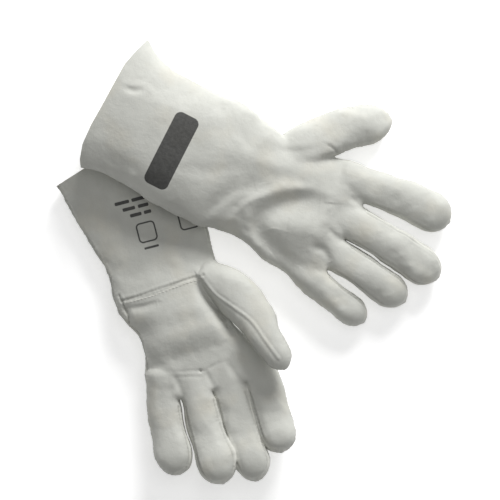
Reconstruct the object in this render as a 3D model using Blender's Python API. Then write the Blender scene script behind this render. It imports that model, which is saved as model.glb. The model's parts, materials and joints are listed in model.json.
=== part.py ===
"""A pair of long leather welding gloves, lying one across the other.

The left glove lies palm up. The right glove lies back up, with its gauntlet over the left one's.
Blender units are metres, +Z is up, and the gloves lie on the plane Z = 0.

Each glove is laid out in its own plan: the first number runs from the middle of the wrist towards
the fingertips, the second runs across the hand towards the thumb, and the third is the height. Both
gloves have the thumb on the same side there, because one shows its palm and the other its back.
The plan's numbers are millimetres. MM turns them into metres where a mesh or an empty is made.
"""

from collections import namedtuple
from math import copysign, cos, pi, radians, sin, tan

import bmesh
import bpy
import numpy as np
from mathutils import Matrix, Vector

MM = 0.001
LEATHER = 1.3
ELASTIC = 1.0
GAP = 0.3

# A cross-section is a superellipse: 1.0 would be an ellipse, and less is fuller at its sides.
FULLNESS = 0.84
# Every joint turns about its palm side. Its back side is cut away by this angle, so it can straighten.
STRAIGHTEN = radians(10)
# Half of the angle that a side strip of a finger covers.
STRIP_ANGLE = radians(30)
# How far round from the side seams the wrist's elastic starts and ends.
ELASTIC_EDGE = radians(30)

WIDE_STEPS = 10
FINGER_STEPS = 5
STRIP_STEPS = 2
WIDE_RINGS = 6
SHAFT_RINGS = 5
CAP_RINGS = 3

LEATHER_COLOUR = (0.66, 0.66, 0.61)
STRIP_COLOUR = (0.72, 0.72, 0.67)
ELASTIC_COLOUR = (0.80, 0.79, 0.74)

# Two points where a flattened tube's side seams pass, its middle height and half of its thickness.
Section = namedtuple("Section", "low_u low_v high_u high_v height half")
Ring = namedtuple("Ring", "centre side up")
# A finger's size is half of its width and half of its thickness. Its root_turn is the way that its
# root faces, in degrees, and its strips are its thumb side (a) and its little-finger side (b).
Size = namedtuple("Size", "half_width half_height")
Digit = namedtuple("Digit", "size root tip bend taper root_turn strips")
# An arc from start to end. Each end is moved by its own number of a side strip's half angles.
Arc = namedtuple("Arc", "start end start_moves end_moves")
# A glove's bow is how far the middle of its cuff's edge stands out beyond the edge's corners.
Glove = namedtuple("Glove", "name at turn back bow gauntlet hand digits thumb_base elastic")

THUMB = Size(18.0, 15.0)
INDEX = Size(16.7, 14.5)
MIDDLE = Size(16.0, 14.5)
RING = Size(15.2, 13.8)
LITTLE = Size(14.9, 13.2)
# The round tip's length, as a share of half of the finger's width.
TIP_SHARE = 0.95
# Half of the thickness of the thumb's base where it meets the hand, and how far it stands off it.
BASE_THICK = 12.0
BASE_CLEARANCE = 4 * GAP
OPENING_DEPTH = 30
OPENING_SIDES = 20
# The hand's side is never read nearer than this share of the way to its highest and lowest points.
SIDE_LIMIT = 0.97
# The lower panels hang this far below their sections, so both gloves are raised by it.
RAISE = 0.34

RIGHT = Glove(
    name="right",
    at=(-6.45, 74.92),
    turn=radians(-27),
    back=1,
    bow=9,
    gauntlet=(
        Section(-146.7, -59.2, -143.3, 77.9, 52, 20),
        Section(-76, -55.8, -74, 65.2, 48, 20),
        Section(-22, -52.5, -22, 54, 39, 18.5),
        Section(-0.6, -52, -0.6, 52, 34.5, 17),
    ),
    hand=(
        Section(0, -52, 0, 52, 34, 17),
        Section(35, -54.5, 35, 57, 27, 18),
        Section(68, -58.5, 68, 61.5, 20, 18),
        Section(92.5, -69, 100.5, 67, 17.7, 16.5),
    ),
    digits={
        "thumb": Digit(THUMB, (55.2, 78.2, 20), (93.6, 112.2, 11.5), (2, -2, 2), 0.85, 43, ""),
        "index": Digit(INDEX, (100.5, 49, 17.7), (187.5, 60, 12.5), (2, 4, 4), 0.95, -3.4, "b"),
        "middle": Digit(MIDDLE, (98.5, 11, 17.7), (202, 8, 12.3), (0, 1, 5), 0.95, -3.4, "ab"),
        "ring": Digit(RING, (96.5, -23.6, 17.7), (183.5, -35.5, 11.6), (1, 2, 4), 0.95, -3.4, "ab"),
        "little": Digit(LITTLE, (94.5, -54.4, 17.7), (156, -63.6, 10.7), (1, 2, 3), 0.95, -3.4, "a"),
    },
    thumb_base=(34, 26),
    elastic=(6, 16),
)
LEFT = Glove(
    name="left",
    at=(-83.35, -23.38),
    turn=radians(-75.5),
    back=-1,
    bow=0,
    gauntlet=(
        Section(-118, -79.1, -157.4, 51.9, 14, 14),
        Section(-62, -64, -80, 52, 13, 13),
        Section(-18, -53, -22, 50, 15, 15),
        Section(-0.6, -50, -0.6, 47, 17, 17),
    ),
    hand=(
        Section(0, -50, 0, 47, 17, 17),
        Section(30, -40, 30, 49, 18, 18),
        Section(62, -38, 62, 55.5, 18.5, 18.5),
        Section(82, -41.5, 82, 62, 18, 17.5),
        Section(98, -46, 101, 82, 17, 16.5),
    ),
    digits={
        "thumb": Digit(THUMB, (55, 73.5, 22), (100.8, 88, 37), (-2, 3, 0), 0.7, 25, ""),
        "index": Digit(INDEX, (101.5, 65.4, 17), (179, 67, 34), (3, 0, -3), 0.95, -1.3, "b"),
        "middle": Digit(MIDDLE, (100.8, 32, 17), (198.7, 34.2, 35), (3, 0, -4), 0.95, -1.3, "ab"),
        "ring": Digit(RING, (100, 0.1, 17), (191.2, 0.6, 33), (3, 0, -4), 0.95, -1.3, "ab"),
        "little": Digit(LITTLE, (99.3, -30.8, 17), (173.7, -33.8, 30), (3, 0, -3), 0.95, -1.3, "a"),
    },
    thumb_base=(33, 27.5),
    elastic=(6, 16),
)


def clear_scene():
    for thing in list(bpy.data.objects):
        bpy.data.objects.remove(thing, do_unlink=True)


def material(name, colour, roughness):
    made = bpy.data.materials.new(name)
    made.use_nodes = True
    shader = made.node_tree.nodes["Principled BSDF"]
    shader.inputs["Base Color"].default_value = (*colour, 1)
    shader.inputs["Roughness"].default_value = roughness
    shader.inputs["Metallic"].default_value = 0
    return made


def empty(name, point, parent=None):
    """An empty at a point of the plan, given in the same plan as its parent's own point."""
    made = bpy.data.objects.new(name, None)
    made.empty_display_size = 10 * MM
    made["point"] = tuple(point)
    if parent:
        made.parent = parent
        made.location = (Vector(point) - Vector(parent["point"])) * MM
    bpy.context.collection.objects.link(made)
    return made


def smooth_sections(sections, count):
    """Sections at even steps on a Catmull-Rom curve through the given ones."""
    keys = np.array([sections[0], *sections, sections[-1]], dtype=float)
    rows = []
    for step in np.linspace(0, len(sections) - 1, count):
        first = min(int(step), len(sections) - 2)
        t = step - first
        before, start, end, after = keys[first : first + 4]
        cubic = (3 * start - before - 3 * end + after) * t**3
        square = (2 * before - 5 * start + 4 * end - after) * t**2
        rows.append(Section(*(0.5 * (cubic + square + (end - before) * t) + start)))
    return rows


def wide_rings(sections, back, inset):
    rings = []
    for s in smooth_sections(sections, WIDE_RINGS):
        low, high = Vector((s.low_u, s.low_v, s.height)), Vector((s.high_u, s.high_v, s.height))
        half = (high - low) / 2
        side = half * (1 - inset / half.length)
        rings.append(Ring((low + high) / 2, side, Vector((0, 0, back * (s.half - inset)))))
    return rings


def slanted(ring, forward):
    """The ring leant forward about its palm side, which leaves room behind it to straighten."""
    lean = forward * (ring.up.length * tan(STRAIGHTEN))
    return Ring(ring.centre + lean, ring.side, ring.up + lean)


def level_direction(degrees):
    return Vector((cos(radians(degrees)), sin(radians(degrees)), 0))


def digit_length(digit):
    return (Vector(digit.tip) - Vector(digit.root)).length


def digit_rings(digit, back, inset):
    """Rings along a finger, and how far each is into the round tip, from 0 to 1."""
    root, tip = Vector(digit.root), Vector(digit.tip)
    control = (root + tip) / 2 + Vector(digit.bend)
    cap = TIP_SHARE * digit.size.half_width
    tip_start = 1 - cap / digit_length(digit)
    steps = [(tip_start * i / SHAFT_RINGS, 0) for i in range(SHAFT_RINGS)]
    steps += [(tip_start, i / CAP_RINGS) for i in range(CAP_RINGS + 1)]
    rings = []
    for start, into_tip in steps:
        angle = into_tip * pi / 2
        t = start + (1 - tip_start) * sin(angle) * (cap - inset) / cap
        centre = root * (1 - t) ** 2 + control * (2 * t * (1 - t)) + tip * t**2
        forward = ((control - root) * (1 - t) + (tip - control) * t).normalized()
        if t == 0:
            forward = level_direction(digit.root_turn)
        side = Vector((-forward.y, forward.x, 0)).normalized()
        up = forward.cross(side) * back
        taper = 1 + (digit.taper - 1) * t
        width = (digit.size.half_width * taper - inset) * cos(angle)
        height = (digit.size.half_height - inset) * cos(angle)
        ring = Ring(centre, side * width, up * height)
        rings.append((slanted(ring, forward) if t == 0 else ring, into_tip))
    return rings


def ring_point(ring, angle, bow=0):
    """A point of a ring, which may be bowed back along the hand between its two sides."""
    across = copysign(abs(cos(angle)) ** FULLNESS, cos(angle))
    over = copysign(abs(sin(angle)) ** FULLNESS, sin(angle))
    bowed = Vector((bow * (across**2 - 1), 0, 0))
    return ring.centre + ring.side * across + ring.up * over + bowed


def arc_row(ring, start, end, steps, lift=0, bow=0):
    """Points of a ring from one angle to another, moved by lift towards the back of the hand."""
    shift = ring.up.normalized() * lift
    angles = [start + (end - start) * i / steps for i in range(steps + 1)]
    return [ring_point(ring, angle, bow) + shift for angle in angles]


def shell(name, outer, inner, parent, slot):
    """A closed sheet of leather between two grids of points, on the parent's pivot."""
    rows, columns = len(outer), len(outer[0])
    pivot = Vector(parent["point"])
    points = [(point - pivot) * MM for grid in (outer, inner) for row in grid for point in row]
    size = rows * columns
    cells = [(r * columns + c, r * columns + c + 1) for r in range(rows - 1) for c in range(columns - 1)]
    faces = [(a, b, b + columns, a + columns) for a, b in cells]
    faces += [(a + columns + size, b + columns + size, b + size, a + size) for a, b in cells]
    rim = [c for c in range(columns)]
    rim += [r * columns + columns - 1 for r in range(1, rows)]
    rim += [(rows - 1) * columns + c for c in reversed(range(columns - 1))]
    rim += [r * columns for r in reversed(range(1, rows - 1))]
    faces += [(a, b, b + size, a + size) for a, b in zip(rim, rim[1:] + rim[:1])]

    mesh = bpy.data.meshes.new(name)
    mesh.from_pydata(points, [], faces)
    work = bmesh.new()
    work.from_mesh(mesh)
    bmesh.ops.remove_doubles(work, verts=work.verts, dist=0.01 * MM)
    bmesh.ops.dissolve_degenerate(work, edges=work.edges, dist=0.001 * MM)
    bmesh.ops.recalc_face_normals(work, faces=work.faces)
    work.to_mesh(mesh)
    work.free()
    mesh.shade_smooth()
    mesh.set_sharp_from_angle(angle=radians(40))
    mesh.materials.append(slot)
    made = bpy.data.objects.new(name, mesh)
    made.parent = parent
    bpy.context.collection.objects.link(made)
    return made


def wide_panel(name, sections, back, arc, lift, parent, slot, inset=0, thick=LEATHER, slant=False, bow=0):
    """A panel of the hand or the gauntlet over an arc of its rings. Only its first ring is bowed."""
    grids = []
    for depth in (inset, inset + thick):
        rings = wide_rings(sections, back, depth)
        if slant:
            rings[0] = slanted(rings[0], Vector((1, 0, 0)))
        bows = [bow] + [0] * (len(rings) - 1)
        grids.append([arc_row(ring, *arc, WIDE_STEPS, lift, b) for ring, b in zip(rings, bows)])
    return shell(name, *grids, parent, slot)


def gauntlet(glove, parent, slots):
    for part, arc, lift in (("back", (0, pi), GAP), ("palm", (pi, 2 * pi), -GAP)):
        name = f"{glove.name}_gauntlet_{part}"
        wide_panel(name, glove.gauntlet, glove.back, arc, lift, parent, slots[part], bow=glove.bow)


def thumb_opening(glove, parent):
    """The cutter for the oval hole in the hand's side, which the thumb is sewn into."""
    middle, half = glove.thumb_base
    wide = 2 * (half - LEATHER)
    tall = 2 * (BASE_THICK - LEATHER)
    centre = hand_side_point(glove, middle, 0, 0) - Vector(parent["point"])
    size = Matrix.Diagonal((wide * MM, OPENING_DEPTH * MM, tall * MM, 1))
    work = bmesh.new()
    matrix = Matrix.Translation(centre * MM) @ size @ Matrix.Rotation(pi / 2, 4, "X")
    round_ends = {"radius1": 0.5, "radius2": 0.5, "depth": 1, "segments": OPENING_SIDES}
    bmesh.ops.create_cone(work, cap_ends=True, matrix=matrix, **round_ends)
    mesh = bpy.data.meshes.new(f"{glove.name}_thumb_opening")
    work.to_mesh(mesh)
    work.free()
    cutter = bpy.data.objects.new(mesh.name, mesh)
    cutter.parent = parent
    cutter.hide_render = True
    cutter.display_type = "WIRE"
    bpy.context.collection.objects.link(cutter)
    return cutter


def hand(glove, parent, slots):
    cutter = thumb_opening(glove, parent)
    back, palm = f"{glove.name}_hand_back", f"{glove.name}_palm"
    panels = [
        wide_panel(back, glove.hand, glove.back, (0, pi), GAP, parent, slots["back"], slant=True),
        wide_panel(palm, glove.hand, glove.back, (pi, 2 * pi), -GAP, parent, slots["palm"], slant=True),
    ]
    for panel in panels:
        cut = panel.modifiers.new("thumb opening", "BOOLEAN")
        cut.object = cutter
        cut.solver = "EXACT"


def elastic(glove, parent, slot):
    """The strip that gathers the wrist, sewn flat to the inside of the hand's back."""
    start, end = glove.elastic
    table = smooth_sections(glove.hand, 100)
    near = [min(table, key=lambda s: abs(s.low_u - u)) for u in (start, end)]
    arc = (ELASTIC_EDGE, pi - ELASTIC_EDGE)
    inset = LEATHER + 2 * GAP
    wide_panel(f"{glove.name}_wrist_elastic", near, glove.back, arc, 0, parent, slot, inset, ELASTIC)


def hand_section(glove, u):
    """The hand's section at a length along its thumb side."""
    table = np.array(smooth_sections(glove.hand, 60))
    return Section(*(float(np.interp(u, table[:, 2], column)) for column in table.T))


def hand_side_point(glove, u, rise, clearance):
    """A point just outside the hand's thumb side, at a length and a height above its seam."""
    s = hand_section(glove, u)
    part = min(abs(rise) / s.half, SIDE_LIMIT)
    reach = (1 - part ** (2 / FULLNESS)) ** (FULLNESS / 2)
    across = (s.low_v + s.high_v) / 2 + (s.high_v - s.low_v) / 2 * reach
    return Vector((u, across + clearance, s.height + rise))


def thumb_base(glove, parent, slots):
    """Two panels that lead from the hand's side to where the thumb stands free."""
    middle, half = glove.thumb_base
    thumb = glove.digits["thumb"]
    forward = level_direction(thumb.root_turn)
    across = Vector((-forward.y, forward.x, 0))
    for part, start, lift in (("back", 0, GAP), ("palm", pi, -GAP)):
        grids = []
        for inset in (0, LEATHER):
            tall = BASE_THICK - inset
            opening = Ring(
                Vector((middle, 0, 0)),
                Vector((inset - half, 0, 0)),
                Vector((0, 0, glove.back * tall)),
            )
            free = Ring(
                Vector(thumb.root) - forward * GAP,
                across * (thumb.size.half_width - inset),
                Vector((0, 0, glove.back * (thumb.size.half_height - inset))),
            )
            around = arc_row(opening, start, start + pi, WIDE_STEPS, lift)
            first = [hand_side_point(glove, point.x, point.z, BASE_CLEARANCE) for point in around]
            last = arc_row(free, start, start + pi, WIDE_STEPS, lift)
            grids.append([[a.lerp(b, t) for a, b in zip(first, last)] for t in (0, 1 / 3, 2 / 3, 1)])
        shell(f"{glove.name}_thumb_base_{part}", *grids, parent, slots[part])


def digit_panel(name, digit, back, arc, steps, lift, parent, slot, pointed=False):
    """A panel of a finger over an arc of its rings. A pointed one ends where its arc closes."""
    grids = []
    for inset in (0, LEATHER):
        rows = []
        for ring, into_tip in digit_rings(digit, back, inset):
            half_angle = STRIP_ANGLE * max(0, 1 - into_tip * CAP_RINGS / 2)
            start = arc.start + half_angle * arc.start_moves
            end = arc.end + half_angle * arc.end_moves
            if not pointed or half_angle > 0:
                rows.append(arc_row(ring, start, end, steps, lift))
        grids.append(rows)
    shell(name, *grids, parent, slot)


def digit(glove, key, parent, slots):
    """A finger or the thumb: a back panel, a palm panel and the side strips between fingers."""
    spec = glove.digits[key]
    back = glove.back
    thumb_side, little_side = "a" in spec.strips, "b" in spec.strips
    name = f"{glove.name}_{key}"
    back_arc = Arc(0, pi, thumb_side, -little_side)
    palm_arc = Arc(pi, 2 * pi, little_side, -thumb_side)
    digit_panel(f"{name}_back", spec, back, back_arc, FINGER_STEPS, GAP, parent, slots["back"])
    digit_panel(f"{name}_palm", spec, back, palm_arc, FINGER_STEPS, -GAP, parent, slots["palm"])
    for side, wanted, middle in (("thumb_side", thumb_side, 0), ("little_side", little_side, pi)):
        if wanted:
            arc = Arc(middle, middle, -1, 1)
            strip = f"{name}_strip_{side}"
            digit_panel(strip, spec, back, arc, STRIP_STEPS, 0, parent, slots["strip"], pointed=True)


def palm_side(point, half, back):
    """The point of a joint's axis: on the palm side of its ring."""
    return (point[0], point[1], point[2] - back * half)


def glove(spec, slots):
    base = empty(f"{spec.name}_glove", (0, 0, 0))
    base.location = (spec.at[0] * MM, spec.at[1] * MM, RAISE * MM)
    base.rotation_euler = (0, 0, spec.turn)
    gauntlet(spec, base, slots)
    wrist = spec.hand[0]
    middle = (wrist.low_u, (wrist.low_v + wrist.high_v) / 2, wrist.height)
    pivot = palm_side(middle, wrist.half, spec.back)
    hand_base = empty(f"{spec.name}_wrist", pivot, base)
    hand(spec, hand_base, slots)
    elastic(spec, hand_base, slots["elastic"])
    thumb_base(spec, hand_base, slots)
    for key, digit_spec in spec.digits.items():
        pivot = palm_side(digit_spec.root, digit_spec.size.half_height, spec.back)
        digit(spec, key, empty(f"{spec.name}_{key}_root", pivot, hand_base), slots)


def build():
    clear_scene()
    slots = {
        "back": material("leather_back", LEATHER_COLOUR, 0.85),
        "palm": material("leather_palm", LEATHER_COLOUR, 0.8),
        "strip": material("leather_strip", STRIP_COLOUR, 0.85),
        "elastic": material("elastic", ELASTIC_COLOUR, 0.9),
    }
    glove(LEFT, slots)
    glove(RIGHT, slots)


build()
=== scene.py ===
"""The looks of the pair of leather welding gloves: their skins, seams, stitches and leather.

Metres, +Z up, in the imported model's own frame. Each glove's shape is written in its plan, in
millimetres: u runs along the hand from the wrist to the fingertips, v across it towards the thumb,
and the third number is the height. The plan is laid on the model by the wrist joint that the
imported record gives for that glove. The side of the glove that faces up is its top, whether that
is the back of the hand or the palm.
"""

import json
from collections import namedtuple
from math import cos, pi, radians, sin

import bmesh
import bpy
import numpy as np
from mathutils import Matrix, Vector, noise
from mathutils.bvhtree import BVHTree
from mathutils.kdtree import KDTree


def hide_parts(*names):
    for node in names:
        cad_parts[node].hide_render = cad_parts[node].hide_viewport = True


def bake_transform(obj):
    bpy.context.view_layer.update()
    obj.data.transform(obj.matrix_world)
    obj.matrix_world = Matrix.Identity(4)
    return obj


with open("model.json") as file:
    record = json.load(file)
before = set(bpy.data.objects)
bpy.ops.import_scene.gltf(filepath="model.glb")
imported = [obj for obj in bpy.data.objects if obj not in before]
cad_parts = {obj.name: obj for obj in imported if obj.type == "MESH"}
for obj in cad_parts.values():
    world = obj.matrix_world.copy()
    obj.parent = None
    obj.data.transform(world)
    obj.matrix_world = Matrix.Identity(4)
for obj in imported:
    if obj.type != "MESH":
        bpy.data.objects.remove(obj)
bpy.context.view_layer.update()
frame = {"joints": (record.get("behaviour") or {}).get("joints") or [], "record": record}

MM = 0.001
# The tubes that a glove is joined from are drawn thinner by INSET, so that the voxel join keeps
# neighbouring fingers apart, and the joined skin is then swollen by the same amount.
INSET = 2.2
VOXEL = 2.0
RING_POINTS = 56
RING_STEP = 3.0
TIP_RINGS = 9
# A finger's section is flatter on top than an ellipse, which would be 1.
FINGER_FULL = 0.82
LEATHER = 1.4
# Skin that would sink into the floor is rounded up onto it over this height.
REST_ROUND = 0.7
# How far inside the wrist the leather's inner face is drawn, and how near the cuff its rim is looked
# for.
INNER_END = 14
CUFF_END = -100
# How many rings the hand's tube has, and how many its side lines are read from.
HAND_RINGS = 90
LINE_RINGS = 60
# A finger's side seams run this far round from the middle of its side.
STRIP_ANGLE = radians(33)
# A strip's leather is a shade lighter up to this far from the middle of the finger's side.
STRIP_HALF = 7.8
# The cloth simulation: its share of the skin's points, how many steps it runs, how much too large the
# cloth is, how far a point may move, and how near a seam it is held, in millimetres.
CLOTH_SHARE = 0.06
CLOTH_FRAMES = 14
CLOTH_GROWTH = 0.03
CLOTH_LIMIT = 1.3
CLOTH_HELD = 7.0
# How far round its path a seam is felt, how closely its points are dropped on the skin, and how strong
# the painted shade along a raised seam is beside that along a sunken one.
SEAM_REACH = 8
DROP_STEP = 3
RAISED_SEAM_SHADE = 0.35
# Points are dropped straight down from this height, which is above everything.
ABOVE_ALL = 200
DOWN = Vector((0, 0, -1))
# The leather's unevenness: the size of its lumps, a seed and their height.
WAVES = ((26, 1, 0.5), (9, 2, 0.1))
# A finger's skin is this near its axis. The thumb's also lies past one side of its split, and ends
# before the tips of the other fingers.
FINGER_REACH = 30
THUMB_SIDE = -4
THUMB_END = 112
# Each stitch takes one pitch of its seam, in millimetres. Along it, these are the places of its rings,
# as shares of the pitch, their radii, and how far they stand above the skin.
STITCH_PITCH = 3.4
STITCH_SIDES = 8
STITCH_SHARES = (0.12, 0.3, 0.5, 0.7, 0.88)
STITCH_SIZES = (0.12, 0.32, 0.38, 0.32, 0.12)
STITCH_LIFTS = (-0.25, 0.05, 0.15, 0.05, -0.25)

# A flattened tube's section: its two edges in plan, its height, how far it reaches above and below,
# and its fullness, where 1 is an ellipse and less is squarer.
Wide = namedtuple("Wide", "low high height top bottom full")
# A finger's section: its middle, half of its width and half of its thickness.
Round = namedtuple("Round", "u v height width thick")
# A finger leaves the hand where it crosses split, a point of plan and the direction that it faces.
Finger = namedtuple("Finger", "sections tip strips split turn")
# A fold follows its points in plan. Depth is how far it sinks, and a ridge has a negative one. Left
# and right are how wide it is on either side of its path. It is on the top or the bottom.
Fold = namedtuple("Fold", "points depth left right top", defaults=(True,))
# A seam follows its points on the skin. Depth is how far it pulls the leather in.
Seam = namedtuple("Seam", "points depth width pucker")
# A glove's whole shape. Back is 1 if the back of the hand faces up, or -1. Middle is where the wrist
# joint lies across the plan. The cuff's edge is straight between two corners, and curve says how far
# it is then bowed out at places across it. Edge angle is how far round from the middle of the edge
# the side seam runs, in degrees. Seams are the sewn lines that run over its top.
Shape = namedtuple("Shape", "name back middle wide cuff curve fingers folds seams edge_angle")

JOINTS = {joint["name"]: joint for joint in frame["joints"]}
BODIES = frame["record"]["behaviour"]["bodies"]


# ---------------------------------------------------------------- shapes of the two gloves

RIGHT = Shape(
    name="right",
    back=1,
    middle=0,
    cuff=((-145, -60), (-144.5, 78)),
    curve=((-61, 0), (-52, 5.5), (-38, 9.5), (-18, 10.3), (0, 9.5), (25, 9), (47, 8.5), (64, 4.5), (78, 0)),
    wide=(
        Wide((-166, -63), (-166, 88), 50, 20, 20, 1.0),
        Wide((-147, -59.5), (-146, 78.5), 50, 20.5, 20, 0.98),
        Wide((-119, -54.5), (-121, 66.3), 49, 22, 20, 0.95),
        Wide((-92, -55.8), (-97, 62.5), 47, 22, 19, 0.94),
        Wide((-60, -58.2), (-62, 63.5), 44, 22, 19, 0.94),
        Wide((-30, -57.8), (-34, 64.5), 39, 21, 19, 0.94),
        Wide((-8, -53.8), (-10, 60.5), 35, 19, 18, 0.92),
        Wide((6, -51), (8, 56.5), 31, 18, 17, 0.9),
        Wide((22, -52), (24, 56), 27, 18.5, 18, 0.88),
        Wide((45, -57), (45, 58), 22, 20, 17, 0.86),
        Wide((68, -60), (68, 60), 19.5, 19, 16, 0.84),
        Wide((88, -65), (90, 65), 17.5, 17, 15, 0.84),
        Wide((103, -69), (106, 66), 16, 14, 13.5, 0.9),
    ),
    fingers={
        "thumb": Finger(
            (
                Round(16, 30, 26, 18, 15),
                Round(34, 56, 23, 21.5, 17),
                Round(53.5, 81.5, 20, 20.5, 15),
                Round(72, 98, 17, 19.5, 14),
            ),
            (95.5, 117, 13),
            "",
            (70.5, 66),
            43,
        ),
        "index": Finger(
            (
                Round(78, 46, 19, 17, 15),
                Round(108, 50, 18.5, 17.5, 15),
                Round(140, 54, 18, 18, 14),
                Round(167, 54.8, 16, 19.8, 13.5),
            ),
            (188.5, 53.5, 13.5),
            "b",
            (109.5, 30),
            2,
        ),
        "middle": Finger(
            (
                Round(78, 13, 19, 17, 15),
                Round(108, 11.5, 19, 17, 15),
                Round(145, 9.5, 20, 17.6, 14),
                Round(181, 5.6, 16, 18.8, 13.5),
            ),
            (203.5, 3.2, 13.5),
            "ab",
            (109.5, 10),
            0,
        ),
        "ring": Finger(
            (
                Round(76, -18, 19, 16, 14.5),
                Round(104, -22, 19, 16.2, 14.5),
                Round(135, -25, 20, 16.2, 13.5),
                Round(165, -29.3, 16, 17, 13),
            ),
            (185.5, -32, 13),
            "ab",
            (109.5, -24),
            -7,
        ),
        "little": Finger(
            (
                Round(72, -46, 18, 14, 13.5),
                Round(98, -53.8, 18, 14.8, 13.5),
                Round(120, -59, 18, 14.4, 13),
                Round(140, -62.8, 15, 14.8, 12.5),
            ),
            (160, -66.5, 12),
            "a",
            (103, -54),
            -10,
        ),
    },
    folds=(
        # the hollow that curls round the mound of the hand's back, behind the knuckles
        Fold(((40, -44), (29, -38), (25, -27), (29, -15), (38, -4), (52, 7), (70, 15)), 6.0, 8.5, 13.0),
        Fold(((72, -47), (50, -43), (33, -37), (24, -27)), 3.2, 7.0, 9.0),
        Fold(((14, -36), (12, -24), (18, -9), (28, 5), (46, 18), (66, 27)), -1.6, 6, 5),
        Fold(((52, -20), (66, -16), (90, -10)), -3.2, 12, 12),
        # the wrist's gathered ridge, and the hollow before it
        Fold(((0, -49), (4, -28), (10, -14), (20, -3)), -1.8, 5.0, 3.5),
        Fold(((-22, -52), (-18, -32), (-8, -12), (8, 2)), 2.4, 9, 6),
        Fold(((-30, 20), (5, 25), (35, 32), (62, 36)), -1.8, 8, 9),
        Fold(((-143, 27), (-135, 28), (-126, 33)), 1.7, 3.2, 3.2),
        Fold(((-140, -34), (-120, -38), (-98, -36)), 1.2, 6, 6),
        Fold(((-70, -20), (-40, -8), (-20, 4)), 0.9, 7, 7),
        Fold(((50, 66.5), (58, 66), (66, 63)), 0.9, 2.2, 3.5),
        Fold(((84, -26), (93, -24), (104, -31)), 2.4, 4.0, 4.0),
        Fold(((88, -4), (98, -7), (107, -8)), 1.6, 3.5, 3.5),
        Fold(((92, 32), (100, 31), (107, 30)), 1.4, 3.5, 3.5),
        Fold(((10, 40), (30, 48), (44, 60)), 1.0, 4, 5),
        Fold(((128, 42), (134, 52), (133, 66)), 0.3, 4.5, 4.5),
        Fold(((150, -4), (154, 10), (152, 24)), 0.3, 4.5, 4.5),
        Fold(((8, -40), (12, 0), (10, 45)), 2.0, 5, 5, False),
        Fold(((60, -40), (66, 0), (60, 45)), 1.6, 6, 6, False),
    ),
    seams=(Seam(((52, 66.5), (58, 66), (66, 63)), 0.25, 1.0, 0.05),),
    edge_angle=0,
)
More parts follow.
